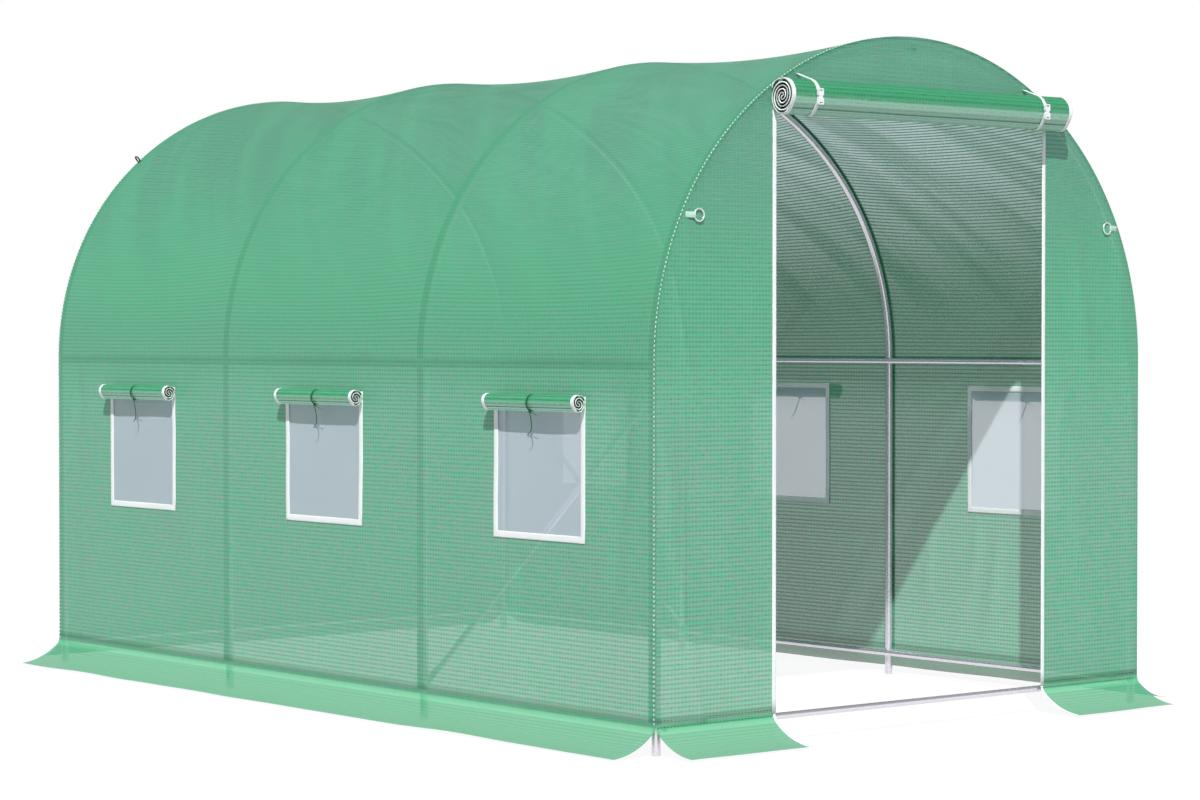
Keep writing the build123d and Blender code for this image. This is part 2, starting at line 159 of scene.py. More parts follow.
def joined_piece(name, parts, material=None, slot=None, *nodes):
    """One smooth piece from parts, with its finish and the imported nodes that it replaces."""
    points, faces, cloth, start = [], [], [], 0
    for part_points, part_faces, part_cloth in parts:
        points.append(part_points)
        cloth.append(part_cloth)
        faces += [[start + corner for corner in face] for face in part_faces]
        start += len(part_points)
    mesh = bpy.data.meshes.new(name)
    mesh.from_pydata(np.concatenate(points).tolist(), [], faces)
    corners = np.zeros(len(mesh.loops), np.int32)
    mesh.loops.foreach_get("vertex_index", corners)
    lengths = np.concatenate(cloth)[corners].astype(np.float32)
    mesh.uv_layers.new(name="cloth").data.foreach_set("uv", lengths.ravel())
    mesh.polygons.foreach_set("use_smooth", np.ones(len(mesh.polygons), bool))
    mesh.update()
    piece = bpy.data.objects.new(name, mesh)
    bpy.context.scene.collection.objects.link(piece)
    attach(piece, "root")
    if material:
        wear(piece, material)
    if nodes:
        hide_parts(*nodes)
    print(name, len(faces), "faces")
    return piece


# %% [markdown]
# Real cover sheet is never flat: it hangs in a little between the hoops and keeps soft dents and upright
# pleats. One small function gives that slack for the long walls, and the window tapes and netting use it
# too, so that nothing floats. The dents come from noise, which is the same on every run.

# %% Slack of the long walls
net_low, net_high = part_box("left_window_screens")
net_size = net_high.z - net_low.z
window_places = [net_low.y + net_size / 2, (net_low.y + net_high.y) / 2, net_high.y - net_size / 2]
window_height = (net_low.z + net_high.z) / 2
sides = ((-1, "left"), (1, "right"))
sheet_gap, seam_gap = 0.0008, 0.001


def ripple(*place, size=1.0):
    """Soft noise from -1 to 1 at a place given in metres."""
    return noise.noise(Vector(place) / size)


def bay_share(y):
    """0 at a hoop, rising to 1 in the middle of a bay."""
    first, last = hoop_places[0], hoop_places[-1]
    across = (np.clip(y, first, last) - first) / (last - first) * 3
    return 4 * (across % 1) * (1 - across % 1)


def clear_of_windows(y, height):
    """0 at a window frame, rising to 1 a hand's width away from it."""
    away = min(max(abs(y - place), abs(height - window_height)) for place in window_places)
    frame_reach, hand = 0.02, 0.08
    return np.clip((away - net_size / 2 - frame_reach) / hand, 0, 1)


def wall_slack(side, y, height):
    """How far the wall stands inside its flat place."""
    rise = np.clip((height - foot_height) / 0.25, 0, 1) * np.clip((eaves_height + 0.1 - height) / 0.2, 0, 1)
    end = np.clip((half_length - abs(y)) / 0.12, 0, 1)
    wave = 0.0034 * ripple(side * 3 + y, height * 0.5, 1.3, size=0.33)
    fold = 0.0022 * ripple(y * 0.8 + height * 0.6, 4.1, side * 2, size=0.12)
    ridge = max(0, ripple(y + 0.14 * height, height * 0.12, side * 5.5, size=0.07))
    pleat = min(0.006, 0.021 * ridge**2) * clear_of_windows(y, height)
    loose = min(1, 3 * bay_share(y))
    hang = 0.0035 * bay_share(y)
    return sheet_gap + (hang + (wave + fold + pleat) * loose) * rise * end


print("slack at a window", round(wall_slack(-1, -0.6, 0.8) * 1000, 2), "mm")

# %% [markdown]
# The roof is slack between the hoops. Wind and packing leave it with soft dents, and with creases that run
# down and forward from the crown. The loose edges of the flaps lift off the ground a few millimetres.

# %% Creases of the roof and edges of the flaps
crease_places = (-0.62, -0.40, -0.13, 0.16, 0.34, 0.62, 0.95, 1.18, 1.52, 1.83, 2.10)
crease_width, crease_depth, crease_slant = 0.034, 0.0026, 0.0135


def roof_dent(y, angle):
    """How far the roof bulges out at a place, less than 0 in dents and creases."""
    down = abs(angle - 90)
    slant = y + crease_slant * down
    creases = sum(math.exp(-(((slant - place) / crease_width) ** 2)) for place in crease_places)
    fade = np.clip((down - 18) / 25, 0, 1) * np.clip((90 - down) / 20, 0, 1)
    depth = crease_depth * max(0, 0.6 + ripple(slant * 3, down / 30, angle / 180))
    return bay_share(y) * (0.0016 * ripple(y * 1.4, angle / 24, 2.2) - depth * creases * fade)


def edge_lift(along, way, pattern):
    """Extra height along a flap's section, from the loose edge to the wall."""
    share = np.linspace(1, 0, len(flap_section)) ** 2
    return 0.004 * (1 + ripple(along, way, pattern, size=0.3)) * share


flap_section = flap(9)
cover_pattern, end_pattern = 7.7, 9.1
print("loose edge of a flap up", round(edge_lift(0, -1, cover_pattern)[0] * 1000, 1), "mm")

# %% [markdown]
# The main sheet runs from one flap over the roof to the other flap. Lines of its grid fall on the edges of
# the windows, so leaving cells out gives clean square holes. It is tight over the hoops and sags in between.

# %% The main cover sheet
def lines(*stops, step=0.018):
    """Grid lines that hit every stop, with steps no longer than step."""
    stops = sorted(stops)
    runs = [np.linspace(a, b, max(2, math.ceil((b - a) / step) + 1))[:-1] for a, b in zip(stops, stops[1:])]
    return np.concatenate(runs + [[stops[-1]]])


edges = [y + end * net_size / 2 for y in window_places for end in (-1, 1)]
cover_y = lines(-half_length, *hoop_places, *edges, half_length)
wall_z = lines(foot_height, net_low.z, net_high.z, eaves_height)
roof_angle = np.linspace(180, 0, 145)


def cover_line(y):
    """One line of the main sheet across the tunnel, from the left edge to the right."""
    walls, flaps = [], []
    for side in (-1, 1):
        out, height = flap_section.T
        flaps.append(points_of(side * (half_width + out), y, height + edge_lift(y, side, cover_pattern)))
        slack = np.array([wall_slack(side, y, z) for z in wall_z])
        walls.append(points_of(side * (half_width - slack), y, wall_z))
    x, z = arch(roof_angle, roof_sag * bay_share(y), sheet_gap)
    dent = np.array([roof_dent(y, angle) for angle in roof_angle])
    lean = np.radians(roof_angle)
    roof = points_of(x + dent * np.cos(lean), y, z + dent * np.sin(lean))
    return np.concatenate([flaps[0], walls[0][1:], roof[1:-1], walls[1][::-1], flaps[1][::-1][1:]])


cover_grid = np.stack([cover_line(y) for y in cover_y], 1)
cover_across = metres_along(cover_line(hoop_places[1]))
cover_cloth = np.stack(np.meshgrid(cover_y, cover_across), -1)
middle = (cover_grid[:-1, :-1] + cover_grid[1:, 1:]) / 2
in_window = np.zeros(middle.shape[:2], bool)
for y in window_places:
    beside_it, above_it = abs(middle[..., 1] - y), abs(middle[..., 2] - window_height)
    in_window |= np.maximum(beside_it, above_it) < net_size / 2
cover = joined_piece("cover_sheet", [grid_part(cover_grid, cover_cloth, ~in_window)])
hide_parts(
    "front_bay_roof", "middle_bay_roof", "rear_bay_roof", "left_wall", "right_wall", "left_skirt",
    "right_skirt",
)
print("cut", round(cover_across[-1], 2), "by", round(2 * half_length, 2), "m")

# %% [markdown]
# Each end is a separate cut, sewn into the arch. Its columns are set by the arch's angle, which keeps the
# round edge smooth. The doorway is simply a stretch without sheet, and its flaps are part of the same cut.

# %% The two end sheets
door_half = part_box("front_top_panel")[1].x
door_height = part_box("front_top_panel")[0].z


def end_slack(end, x, height):
    """Soft waves of an end sheet, none along its seam and the doorway."""
    wave = 0.0030 * ripple(x * 1.6, height * 0.35, end * 3.1, size=0.26)
    pleat = 0.0170 * max(0, ripple(x + 0.22 * height, height * 0.12, end * 6.5, size=0.06)) ** 2
    return wave + pleat + 0.0012 * ripple(x * 2.0 + height * 0.6, height * 0.3, end * 5.3, size=0.09)


def end_flap(end, x):
    """Points of the flap of an end sheet at one place across the tunnel."""
    out, height = flap_section.T
    return points_of(x, end * (half_length + out), height + edge_lift(x, end, end_pattern))


def end_grid(end, columns, bottom):
    """A stretch of an end sheet up to the arch; from the foot of the wall it has its flap too."""
    rows, cloth = [], []
    tops = np.interp(columns, *arch(np.linspace(180, 0, 1441), 0, seam_gap))
    margin = 0.08
    base = lines(bottom, eaves_height) if bottom < eaves_height else np.array([bottom])
    for x, top in zip(columns, tops):
        heights = np.concatenate([base, np.linspace(base[-1], top, 41)[1:]])
        inside = min((x - columns[0]), (columns[-1] - x)) / margin
        near_top = np.clip((top - heights) / margin, 0, 1)
        slack = np.array([end_slack(end, x, z) for z in heights]) * np.clip(inside, 0, 1) * near_top
        wall = points_of(x, end * (half_length - sheet_gap + slack), heights)
        run = heights - foot_height
        if bottom == foot_height:
            wall = np.concatenate([end_flap(end, x)[:-1], wall])
            length = metres_along(flap_section)
            run = np.concatenate([length[:-1] - length[-1], run])
        rows.append(wall)
        cloth.append(np.stack([0 * run + x, run], 1))
    return grid_part(np.stack(rows, 1), np.stack(cloth, 1))


seam_columns = arch(np.linspace(180, 0, 91), 0, seam_gap)[0]
left_columns = np.concatenate([seam_columns[seam_columns < -door_half - 0.004], [-door_half]])
front_parts = [end_grid(-1, columns, foot_height) for columns in (left_columns, -left_columns[::-1])]
front_parts.append(end_grid(-1, lines(-door_half, 0, door_half), door_height))
front = joined_piece("front_sheet", front_parts)
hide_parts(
    "front_left_panel", "front_right_panel", "front_top_panel", "front_left_skirt", "front_right_skirt"
)
rear = joined_piece("rear_sheet", [end_grid(1, seam_columns, foot_height)])
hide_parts("rear_wall", "rear_skirt")

# %% [markdown]
# Shader maths reads best as sums, so a small class wraps a node's output. A sum on it adds a Math node, and
# one method adds any other node: its settings come first, because they decide which sockets it has.

# %% A socket that takes part in sums
class Wire:
    """One output of a shader node."""

    def __init__(self, tree, socket=None):
        self.tree, self.socket = tree, socket

    def node(self, kind, sockets=None, output=0, **settings):
        """Adds a node: its settings, then the values or links of its sockets."""
        made = self.tree.nodes.new("ShaderNode" + kind)
        for name, value in settings.items():
            setattr(made, name, value)
        for key, value in (sockets or {}).items():
            if isinstance(value, Wire):
                self.tree.links.new(value.socket, made.inputs[key])
            else:
                made.inputs[key].default_value = value
        return Wire(self.tree, made.outputs[output] if made.outputs else None)

    def maths(self, operation, second=0.0):
        """A Math node on this value and a second one."""
        return self.node("Math", {0: self, 1: second}, operation=operation)

    def blend(self, first, second):
        """A mix of two colours, with this value as the share of the second."""
        return self.node("Mix", {0: self, 6: first, 7: second}, 2, data_type="RGBA")

    def __add__(self, other):
        return self.maths("ADD", other)

    def __sub__(self, other):
        return self.maths("SUBTRACT", other)

    def __rsub__(self, other):
        return self.node("Math", {0: other, 1: self}, operation="SUBTRACT")

    def __mul__(self, other):
        return self.maths("MULTIPLY", other)

    __radd__, __rmul__ = __add__, __mul__


def new_finish(name):
    """An empty material and the wire that its nodes start from."""
    material = bpy.data.materials.new(name)
    material.use_nodes = True
    material.node_tree.nodes.clear()
    return material, Wire(material.node_tree)


def close_finish(shader):
    """Links the last shader to the material's output."""
    shader.node("OutputMaterial", {"Surface": shader})


def tone(red, green, blue):
    """A colour written as the eye sees it, from 11 to 255, as Blender counts light."""
    return (*(((value / 255 + 0.055) / 1.055) ** 2.4 for value in (red, green, blue)), 1.0)


# %% [markdown]
# Every finish starts from a few values: the metres of cloth, the place on the tunnel and soft noise. Small
# helpers fetch them, so that a finish below only says what it does with them.

# %% Values that finishes start from
def axis_value(vector, axis):
    """One of the three numbers of a vector."""
    return vector.node("SeparateXYZ", {0: vector}, axis)


def cloth_metres(start):
    """The metres of cloth at a point: as a vector, then along the piece and across it."""
    cloth = start.node("UVMap", uv_map="cloth")
    return cloth, axis_value(cloth, 0), axis_value(cloth, 1)


def tunnel_place(start):
    """The place of a point on the tunnel, in metres."""
    return start.node("TexCoord", None, "Object")


def mottle(place, scale, detail=2.0, roughness=0.5):
    """Soft patches of noise round 0.5."""
    return place.node("TexNoise", {"Vector": place, "Scale": scale, "Detail": detail, "Roughness": roughness})


def soft_step(value, low, high):
    """0 below low and 1 above high, with a soft change; low may be the larger of the two."""
    limits = {0: value, 1: low, 2: high, 3: 0.0, 4: 1.0}
    return value.node("MapRange", limits, interpolation_type="SMOOTHSTEP")


def ribs(along, across, pitch):
    """Crossing ribs of a fine weave, from -1 to 1, a pitch in metres apart."""
    turn = 2 * math.pi / pitch
    return (along * turn).maths("SINE") * (across * turn).maths("SINE")


def bump(height, strength, distance):
    """A small relief of the surface."""
    return height.node("Bump", {"Strength": strength, "Distance": distance, "Height": height})


def surface(colour, roughness, others):
    """The main shader of a finish: its colour, its roughness and its other sockets."""
    return colour.node("BsdfPrincipled", {"Base Color": colour, "Roughness": roughness, **others})


def mix_shaders(share, first, second):
    """A mix of two shaders, with the share of the second."""
    return first.node("MixShader", {0: share, 1: first, 2: second})


# %% [markdown]
# The cover is green film laid on a net of threads, about thirteen millimetres apart: pale ones one way and
# darker ones the other. A tube that touches the sheet stops the light from behind, and a line of painted
# shade is laid on the sheet along it too. The slack roof has slanting folds, and folded film lets less light
# through.

# %% Threads, tubes and folds
thread_pitch = 0.0131
hoop_pitch = hoop_places[1] - hoop_places[0]
rail_height = centre("left_hip_rail", 2)


def threads(across, width):
    """1 on the threads that cross a direction, 0 on the film between them."""
    away = ((across * (1 / thread_pitch)).maths("FRACT") - 0.5).maths("ABSOLUTE")
    return soft_step(away, 0.5 * width + 0.09, 0.5 * width - 0.03)


def touching_tubes(along, height):
    """1 where a hoop or a hip rail lies against the cover, 0 elsewhere."""
    turn = ((along - hoop_places[0]) * (1 / hoop_pitch) + 0.5).maths("FRACT")
    from_hoop = (turn - 0.5).maths("ABSOLUTE") * hoop_pitch
    by_hoop = soft_step(from_hoop, 0.021, 0.011) * soft_step(height, 0.08, 0.10)
    above_rail = height - rail_height
    by_rail = soft_step(above_rail, -0.012, -0.006) * soft_step(above_rail, 0.020, 0.012)
    return by_hoop.maths("MAXIMUM", by_rail)


def roof_folds(along, across, height):
    """1 on the slanting folds of the roof, 0 on flat film and on the walls."""
    down = (across - cover_across[-1] / 2).maths("ABSOLUTE")
    slant = down.node("CombineXYZ", {0: along * 5.5 + down * 4.6, 1: down * 1.1})
    return soft_step(mottle(slant, 1.0), 0.42, 0.62) * soft_step(height, 1.15, 1.4)


def inner_turn_shade(roll, height):
    """1 on the inner turns of a roll, where shade is painted, 0 on its outer ones."""
    axis, centre_height, centre_out, squash, radius = roll
    out = axis_value(tunnel_place(height), axis).maths("ABSOLUTE") - centre_out
    up = height - centre_height
    square = out * out * (1 / squash**2) + up * up
    return soft_step(square, (radius * 1.04) ** 2, (radius * 0.98) ** 2)


print("threads every", thread_pitch * 1000, "mm, rail at", round(rail_height, 3))

# %% [markdown]
# Light goes through the sheet, so part of its shader is Translucent, and about a tenth passes unscattered, so
# that the floor and the tubes show faintly behind. The colour is built up in coats, each with its own share.

# %% The reinforced cover sheet
fresh_tones = tone(88, 196, 146), tone(134, 184, 162), tone(166, 214, 192), tone(94, 146, 120)
deep_tones = tone(58, 168, 114), tone(92, 170, 134), tone(144, 208, 174), tone(32, 108, 70)


def sheet_finish(name, clear, through, tones, cover=False, roll=None):
    """Woven sheet: its clear and translucent shares and its tones. A cover knows the tubes that touch it and
    gets painted shade along them. A roll, (axis, height, distance out, squash, radius of the inner turns),
    gets painted light from the floor on its lower half and painted shade on its inner turns."""
    material, start = new_finish(name)
    cloth, along, across = cloth_metres(start)
    height = axis_value(tunnel_place(start), 2)
    drawn = cloth.node("VectorMath", {0: cloth, 1: (1, 2.5, 1)}, operation="MULTIPLY")
    patch, dent = mottle(cloth, 2.4, 3.0, 0.6), mottle(cloth, 9.0, 4.0, 0.55)
    blotch, broken = mottle(drawn, 24.0, 3.0, 0.6), mottle(drawn, 60.0, 2.0, 0.7)
    upright, level = threads(along, 0.30), threads(across, 0.34)
    show = soft_step(broken, 0.30, 0.70)
    touch, fold, painted_floor_light = 0.0, 0.0, 0.0
    if cover:
        touch, fold = touching_tubes(along, height), roof_folds(along, across, height)
        show = show * (1.0 - soft_step(height, 1.0, 1.5) * 0.86)
    if roll:
        painted_floor_light = soft_step(height, roll[1] + 0.010, roll[1] - 0.016)
    roof, crown = soft_step(height, 0.9, 1.2), soft_step(height, 1.25, 1.8)
    flat = soft_step(height, 0.086, 0.078)
    painted_crease_highlight = soft_step(height, 0.082, 0.074) * soft_step(height, 0.056, 0.066)
    doubled = soft_step(height, 0.112, 0.098) * soft_step(height, 0.080, 0.092)

    bright, dull, pale, dark = tones
    faded = 1.0 - soft_step(height, 0.7, 1.3) * 0.60
    woven = (soft_step(blotch + patch * 0.3, 0.42, 0.82) * faded).blend(bright, dull)
    # painted light: the lower half of a roll is paler, as if lit from the floor below
    coats = [(painted_floor_light * 0.84, tone(214, 255, 236))] if roll else []
    coats += [
        (level * (show * 0.62 + 0.30) * (1.0 - painted_floor_light * 0.55), dark),  # threads along the tunnel
        (upright * (show * 0.22 + 0.06), pale),  # threads round it
        # painted shade: higher up the sheet is a deeper green, which tones down the sun on the roof
        (roof * (0.27 if cover else 0.14), tone(34, 124, 80)),
        (flat * 0.60, tone(50, 168, 110)),  # flap on the ground
        (painted_crease_highlight * 0.40, tone(120, 226, 168)),  # painted highlight along its fold at the foot of the wall
        (doubled * 0.60, tone(38, 116, 78)),  # painted shade in a band just above the fold
    ]
    # painted shade: a dark line on the sheet along the hoops and the hip rail behind it
    coats += [(touch * 0.32, tone(44, 110, 78))] if cover else []
    # painted shade in the inner turns of a roll
    coats += [(inner_turn_shade(roll, height) * 0.9, tone(58, 48, 56))] if roll else []
    for share, colour in coats:
        woven = share.blend(woven, colour)

    relief = level * 0.5 + upright * 0.3 + dent * 1.6
    others = {"Normal": bump(relief, 0.25, 0.0008), "Specular IOR Level": 0.32}
    if clear:
        bare = 1.0 - soft_step(height, 0.85, 1.05) * 0.32 + crown * 1.1 + flat * 0.4
        bare = (bare + soft_step(height, 0.75, 0.45) * 0.12) * (broken + 0.5) * (1.0 - fold * 0.40)
        others["Alpha"] = 1.0 - (1.0 - level * (crown * 0.4 + 0.45)) * (1.0 - touch) * bare * clear
    body = surface(woven, 0.42 + patch * 0.12, others)
    glow = start.node("BsdfTranslucent", {"Color": tone(192, 214, 222)})
    glowing = (1.0 - level * 0.85) * (crown * 6.4 + 1.2) * (broken + 0.5)
    glowing = (1.0 - touch) * glowing * (1.0 - fold * 0.35) * through
    close_finish(mix_shaders(glowing, body, glow))
    return material


wear(cover, sheet_finish("cover_sheet", 0.13, 0.05, fresh_tones, cover=True))
end_finish = sheet_finish("end_sheet", 0.13, 0.05, fresh_tones)
for piece in (front, rear):
    wear(piece, end_finish)
print("cover and ends have their finish")

# %% [markdown]
# Galvanised tube is dull and slightly cloudy: the zinc freezes in soft patches. Two sizes of noise move the
# colour and the roughness a little, and the metal stays pale because most of the room round it is white.

# %% Galvanised tubes
def metal_finish(name, light, dark, roughness, metallic):
    """Zinc-coated or plated steel with soft patches."""
    material, start = new_finish(name)
    place = tunnel_place(start)
    cloud = mottle(place, 60.0, 4.0)
    patch = cloud * 0.7 + place.node("TexVoronoi", {"Vector": place, "Scale": 240.0}) * 0.5
    others = {"Metallic": metallic, "Normal": bump(patch, 0.08, 0.0004)}
    close_finish(surface(patch.blend(light, dark), roughness + cloud * 0.14, others))
    return material


steel_finish = metal_finish("galvanised_steel", tone(248, 243, 250), tone(224, 217, 228), 0.18, 0.8)
ring_finish = metal_finish("ring_wire", tone(244, 252, 248), tone(214, 228, 221), 0.22, 0.6)
tubes = [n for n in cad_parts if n.endswith(("legs", "_arch", "_rail", "_sill", "_brace"))]
for name in tubes:
    wear(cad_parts[name], steel_finish)
for name in ("front_guy_rings", "rear_guy_rings"):
    wear(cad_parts[name], ring_finish)
print(len(tubes), "tube pieces")

# %% [markdown]
# White tape binds the doorway and the windows, and white webbing makes the straps. Both are woven, so fine
# ribs cross on them. The UV map of a tape holds metres along and across it.

# %% Woven tapes and thread
def tape_finish(name, light, dark, rib, roughness):
    """Woven tape with crossing ribs, rib metres apart."""
    material, start = new_finish(name)
    cloth, along, across = cloth_metres(start)
    wave, dirt = ribs(along, across, rib), mottle(cloth, 14.0, 3.0)
    colour = (dirt * 0.7 + wave * 0.12).blend(light, dark)
    others = {"Normal": bump(wave, 0.35, 0.0004), "Specular IOR Level": 0.3}
    close_finish(surface(colour, roughness + dirt * 0.1, others))
    return material


binding_finish = tape_finish("white_binding", tone(252, 254, 253), tone(240, 245, 243), 0.0016, 0.62)
webbing_finish = tape_finish("white_webbing", tone(242, 251, 246), tone(218, 234, 226), 0.0022, 0.66)
tie_finish = tape_finish("green_tape", tone(26, 108, 62), tone(18, 78, 46), 0.0018, 0.7)
thread_finish = tape_finish("white_thread", tone(246, 249, 247), tone(216, 232, 224), 0.0010, 0.6)
dark_finish = tape_finish("dark_thread", tone(54, 112, 84), tone(40, 90, 66), 0.0010, 0.7)
print("tapes ready")

# %% [markdown]
# All tapes are one shape: a flat, slightly crowned section that follows a line. Given the direction across
# the tape, the way it faces comes from the line itself, so one function serves frames, straps and ties.

# %% A tape along a line
def unit(vectors):
    """Vectors of length one."""
    return vectors / np.linalg.norm(vectors, axis=-1, keepdims=True)


def directions(path, closed=False):
    """Direction of a line at each of its points."""
    if closed:
        return unit(np.roll(path, -1, 0) - np.roll(path, 1, 0))
    return unit(np.gradient(path, axis=0))


def tube_faces(count, around, start=0, closed=False):
    """Faces of a tube of rings of points, with flat ends unless it is closed."""
    faces = []
    for ring in range(count if closed else count - 1):
        low, high = start + ring * around, start + (ring + 1) % count * around
        for corner in range(around):
            following = (corner + 1) % around
            faces.append([low + corner, low + following, high + following, high + corner])
    if not closed:
        last = start + (count - 1) * around
        faces += [list(range(start, start + around))[::-1], list(range(last, last + around))]
    return faces


def tape_mesh(path, across, width, thickness, closed=False):
    """Points, faces and cloth lengths of a tape whose underside follows the path."""
    path, across = np.asarray(path, float), np.broadcast_to(np.asarray(across, float), np.shape(path))
    facing = unit(np.cross(directions(path, closed), across))
    half, edge, crown = width / 2, min(thickness / 2, width / 6), thickness * 1.06
    right = [(half - edge, 0), (half, edge), (half - edge, 2 * edge), (half / 2, crown)]
    section = [(-u, h) for u, h in right] + right[::-1]
    points = np.stack([path + across * u + facing * h for u, h in section], 1)
    faces = tube_faces(*points.shape[:2], closed=closed)
    cloth = np.stack(np.meshgrid(metres_along(path), [u for u, h in section], indexing="ij"), -1)
    return points.reshape(-1, 3), faces, cloth.reshape(-1, 2)


# %% [markdown]
# Behind each window frame a square of insect netting is sewn in. It is a second thin sheet, a touch larger
# than its hole so that the frame covers its edge. The tape of the frame folds round the edge of the hole, so
# each window has one tape outside and one inside. All of it follows the slack of the wall.

# %% Netting and its frames
net_lap, net_depth = 0.004, 0.0012


def wall_point(side, y, height, out=0.0):
    """A point on the outside of a long wall, moved out by a distance."""
    return [side * (half_width - wall_slack(side, y, height) + out), y, height]


def netting(side):
    """The three squares of netting of one wall."""
    parts = []
    steps = np.linspace(-1, 1, 17) * (net_size / 2 + net_lap)
    for y in window_places:
        grid = [[wall_point(side, y + u, window_height + v, -net_depth) for u in steps] for v in steps]
        parts.append(grid_part(np.array(grid), np.stack(np.meshgrid(steps, steps), -1)))
    return parts


def frame_ring(side, y, head, out, order):
    """Path and mitred directions of the tape round a window; the order turns it outwards or inwards."""
    reach, per_side = net_size / 2, 12
    steps, rises = np.linspace(-reach, reach, per_side + 1)[:-1], np.linspace(-reach, head, per_side + 1)
    ring = [(u, -reach, 0, -1) for u in steps] + [(reach, v, 1, 0) for v in rises[:-1]]
    ring += [(-u, head, 0, 1) for u in steps] + [(-reach, v, -1, 0) for v in rises[:0:-1]]
    path, across = [], []
    for count, (u, v, du, dv) in enumerate(ring):
        path.append(wall_point(side, y + u, window_height + v, out))
        mitre = (0, math.copysign(1, u), math.copysign(1, v))
        across.append((0, du, dv) if count % per_side else mitre)
    return path[::order], across[::order]


def frame_parts(side):
    """Tape frames of one wall; the outer tape's head is lower, to clear the seam of the blind."""
    parts = []
    head, head_drop = net_size / 2, 0.008
    for y in window_places:
        outer = frame_ring(side, y, head - head_drop, 0.0008, -side)
        inner = frame_ring(side, y, head, -0.0022, side)
        parts.append(tape_mesh(*outer, 0.020, 0.0018, closed=True))
        parts.append(tape_mesh(*inner, 0.018, 0.0014, closed=True))
    return parts


def net_finish():
    """Fine white netting that lets light and sight through."""
    material, start = new_finish("window_netting")
    cloth, along, across = cloth_metres(start)
    weave = ribs(along, across, 0.0022).maths("ABSOLUTE")
    colour = mottle(cloth, 3.0).blend(tone(214, 226, 233), tone(204, 217, 226))
    body = surface(colour, 0.75, {"Alpha": 0.86 - weave * 0.16, "Specular IOR Level": 0.2})
    glow = start.node("BsdfTranslucent", {"Color": tone(212, 216, 236)})
    clear = start.node("BsdfTransparent", {"Color": (1, 1, 1, 1)})
    close_finish(mix_shaders(0.22, body, mix_shaders(0.6, clear, glow)))
    return material


window_finish = net_finish()
for side, name in sides:
    screens, frames = name + "_window_screens", name + "_window_frames"
    joined_piece(name + "_netting", netting(side), window_finish, "window_netting", screens)
    joined_piece(name + "_window_tapes", frame_parts(side), binding_finish, "white_binding", frames)

# %% [markdown]
# The two edges of the doorway are bound with the same tape, folded round the edge. The bindings start at the
# crease of the flap and stop at the head of the door, under the roll.

# %% Door bindings
binding_low, binding_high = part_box("door_bindings")
heights = np.linspace(binding_low.z, binding_high.z, 40)
binding_parts = []
for side in (-1, 1):
    for way, out, thickness in ((-1, 0.0004, 0.0018), (1, 0.0012, 0.0014)):
        path = [[side * (door_half + 0.006), -half_length - out, z] for z in heights]
        binding_parts.append(tape_mesh(path, (way, 0, 0), 0.014, thickness))
joined_piece("door_binding_tapes", binding_parts, binding_finish, "white_binding", "door_bindings")

# %% [markdown]
# Beside the doorway the cut edges of the two front flaps are bound as well, with a narrower tape that follows
# the flap from its loose edge up to the crease.

# %% Edge tapes of the front flaps
edge_parts = []
for side in (-1, 1):
    path = end_flap(-1, side * door_half)
    path[:, 0] = side * (door_half + 0.004)
    edge_parts.append(tape_mesh(path, (-1, 0, 0), 0.010, 0.0014))
joined_piece("flap_edge_tapes", edge_parts, binding_finish, "white_binding")

# %% [markdown]
# A curtain folded once and rolled from its middle shows two arms that wind round each other, as an S. Half
# circles make such a scroll: each one is a pitch larger than the last, and its centre changes side. A short
# lip leads the outer end on until it lies against the turn inside it.

# %% The line of a rolled sheet
def lip(arcs, pitch, gap):
    """Points that lead the lower end forwards until it lies on the turn inside it."""
    turn = np.radians(np.linspace(34, 0, 9))[:-1]
    share = (turn / turn[0])[:, None] ** 2
    free = arcs * pitch * np.stack([np.sin(turn), -np.cos(turn)], 1)
    reach = (arcs - 0.5) * pitch + 1.3 * gap
    lying = np.stack([reach * np.sin(turn), pitch / 2 - reach * np.cos(turn)], 1)
    return free * (1 - share) + lying * share


def scroll(arcs, pitch, gap, squeeze=1.0):
    """Points (out, up) along a roll of two arms, from the lip through the middle to the upper end."""
    arm = [np.zeros((1, 2))]
    for count in range(1, arcs + 1):
        way = 1 if count % 2 else -1
        centre_up, radius = way * pitch / 2, (count - 0.5) * pitch
        turn = np.linspace(0, math.pi, 9 + 3 * count)[1:]
        arm.append(np.stack([way * radius * np.sin(turn), centre_up - way * radius * np.cos(turn)], 1))
    arm = np.concatenate(arm)
    return np.concatenate([lip(arcs, pitch, gap), -arm[::-1], arm[1:]]) * [squeeze, 1]


def beside(line, gap):
    """The line moved sideways by a gap."""
    heading = directions(line)
    return line + gap * np.stack([-heading[:, 1], heading[:, 0]], 1)


def both_sides(line, gap):
    """A sheet folded along a line: out along one side and back along the other."""
    return np.concatenate([beside(line, gap / 2), beside(line, -gap / 2)[::-1]])


def in_hollow(last, point, following):
    """Whether a point lies in a hollow between two others, so that a tight band skips it."""
    rise, run = following[1] - last[1], following[0] - last[0]
    return (point[0] - last[0]) * rise <= (point[1] - last[1]) * run


def band_round(points):
    """The outline that a tight band takes round a set of points (out, up), anticlockwise."""
    points = sorted(map(tuple, points))
    halves = []
    for run in (points, points[::-1]):
        half = []
        for point in run:
            while len(half) > 1 and in_hollow(*half[-2:], point):
                half.pop()
            half.append(point)
        halves += half[:-1]
    return np.array(halves)


def points_at(stops, along, line):
    """Points of a line at the given lengths along it."""
    return np.stack([np.interp(stops, along, column) for column in line.T], 1)


def even(line, step):
    """The same line with points about a step apart."""
    along = metres_along(line)
    return points_at(np.linspace(0, along[-1], max(2, int(along[-1] / step) + 1)), along, line)


print("length of a scroll", round(metres_along(scroll(5, 0.010, 0.003))[-1], 3))

